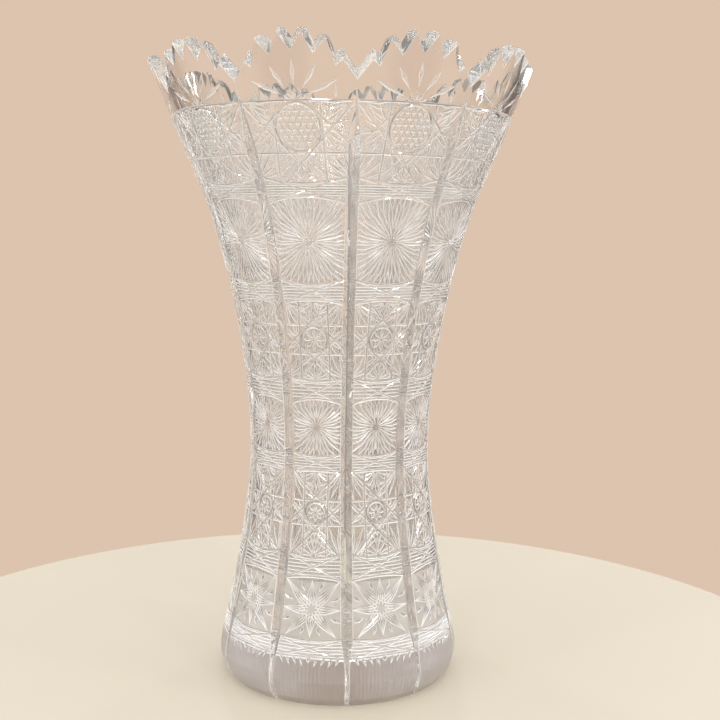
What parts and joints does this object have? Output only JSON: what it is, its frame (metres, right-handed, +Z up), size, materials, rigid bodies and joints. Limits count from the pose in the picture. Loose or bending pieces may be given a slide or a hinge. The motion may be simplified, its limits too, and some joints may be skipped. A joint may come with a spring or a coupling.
{
  "type": "cut crystal vase",
  "caption": "Tall flared vase of clear cut crystal, with a narrow waist, a solid foot, upright cut panels and a scalloped sawtooth rim.",
  "frame": {"origin": "centre of the ring that the foot stands on, at the bottom of the vase", "axes": "+Z up along the vase's axis, towards the mouth; -Y is the front, where one upright mitre cut faces"},
  "size_m": [0.217, 0.213, 0.3499],
  "materials": {
    "crystal": "polished and wheel cut"
  },
  "bodies": {
    "root": {"cut_glass_vessel": "crystal"}
  },
  "joints": []
}
